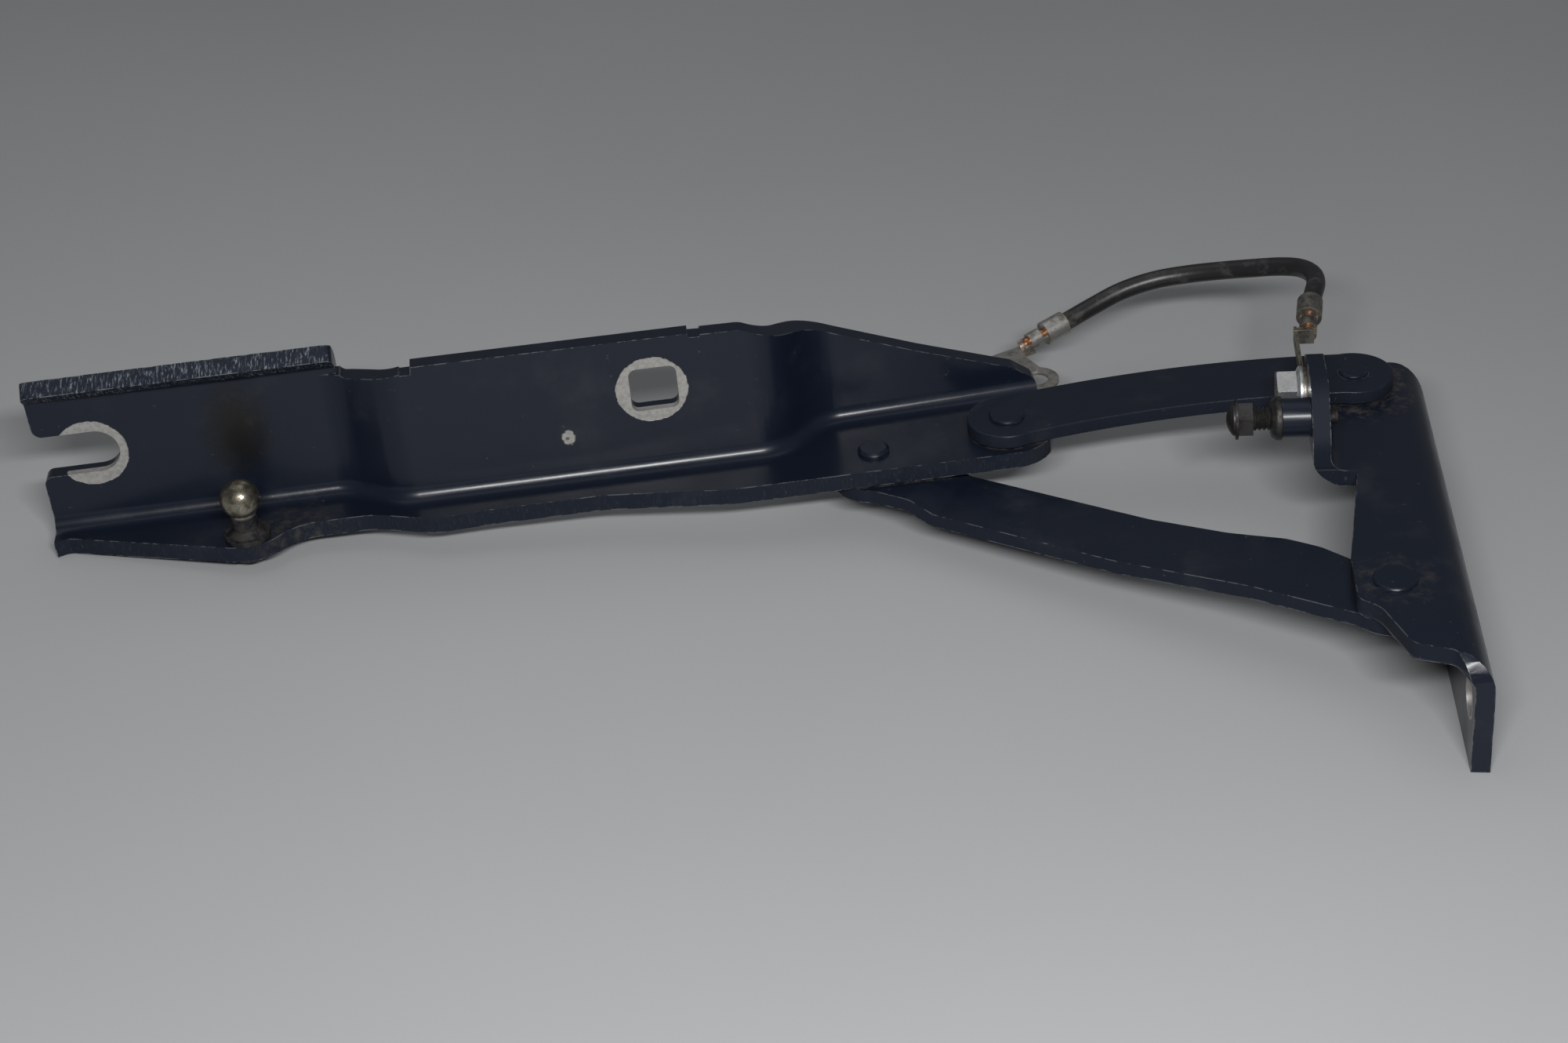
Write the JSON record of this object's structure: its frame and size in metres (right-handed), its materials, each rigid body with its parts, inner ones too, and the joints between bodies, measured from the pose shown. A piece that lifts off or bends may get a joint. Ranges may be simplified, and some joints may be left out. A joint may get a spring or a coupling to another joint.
{
  "type": "bonnet hinge",
  "caption": "Four-bar vehicle bonnet hinge of pressed steel: flanged body bracket, links on riveted pivots, joggled bonnet arm with gas strut ball, stop bolt and earth lead.",
  "frame": {"origin": "centre of the near body bolt hole, on the mounting face of the bracket's flange", "axes": "+X out of the mounting face, +Y along it to the far bolt hole, +Z along the pivots"},
  "size_m": [0.3493, 0.1793, 0.0738],
  "materials": {
    "paint": "semi-gloss dark blue body paint with worn sheared edges",
    "bare_steel": "dull bare steel",
    "zinc": "bright zinc plating",
    "tin": "dull tin plating",
    "copper": "stranded copper",
    "insulation": "dusty black insulation",
    "bush": "satin bronze"
  },
  "bodies": {
    "bracket": {"body_bracket": "paint", "stop_boss": "paint", "stop_bolt": "bare_steel", "stop_lock_nut": "bare_steel", "earth_bolt": "zinc", "body_terminal": "tin", "body_conductor": "copper", "earth_cable": "insulation", "upper_body_rivet": "paint", "lower_body_rivet": "paint"},
    "upper_link": {"upper_link": "paint", "upper_body_bush": "bush", "upper_arm_bush": "bush", "bonnet_terminal": "tin", "bonnet_conductor": "copper"},
    "lower_link": {"lower_link": "paint", "lower_body_bush": "bush", "lower_arm_bush": "bush", "lower_arm_rivet": "paint"},
    "bonnet_arm": {"bonnet_arm": "paint", "lower_arm_rivet_head": "paint", "upper_arm_rivet": "paint", "ball_stud": "bare_steel"}
  },
  "joints": [
    {"name": "upper_body_pivot", "type": "hinge", "parent": "bracket", "child": "upper_link", "pos_m": [-0.019, 0.1125, 0.0174], "axis": [0, 0, 1], "range_deg": [-75.17, 0], "deforming": ["earth_cable"]},
    {"name": "upper_arm_pivot", "type": "hinge", "parent": "upper_link", "child": "bonnet_arm", "pos_m": [-0.10736, 0.09708, 0.0174], "axis": [0, 0, 1], "range_deg": [0, 158.2]},
    {"name": "lower_body_pivot", "type": "hinge", "parent": "bracket", "child": "lower_link", "pos_m": [-0.0183, 0.0253, 0.0082], "axis": [0, 0, 1], "range_deg": [-48.3, 0]}
  ],
  "couplings": [
    {"joint": "upper_arm_pivot", "follows": "upper_body_pivot", "ratio": -2.1045},
    {"joint": "lower_body_pivot", "follows": "upper_body_pivot", "ratio": 0.64234}
  ]
}
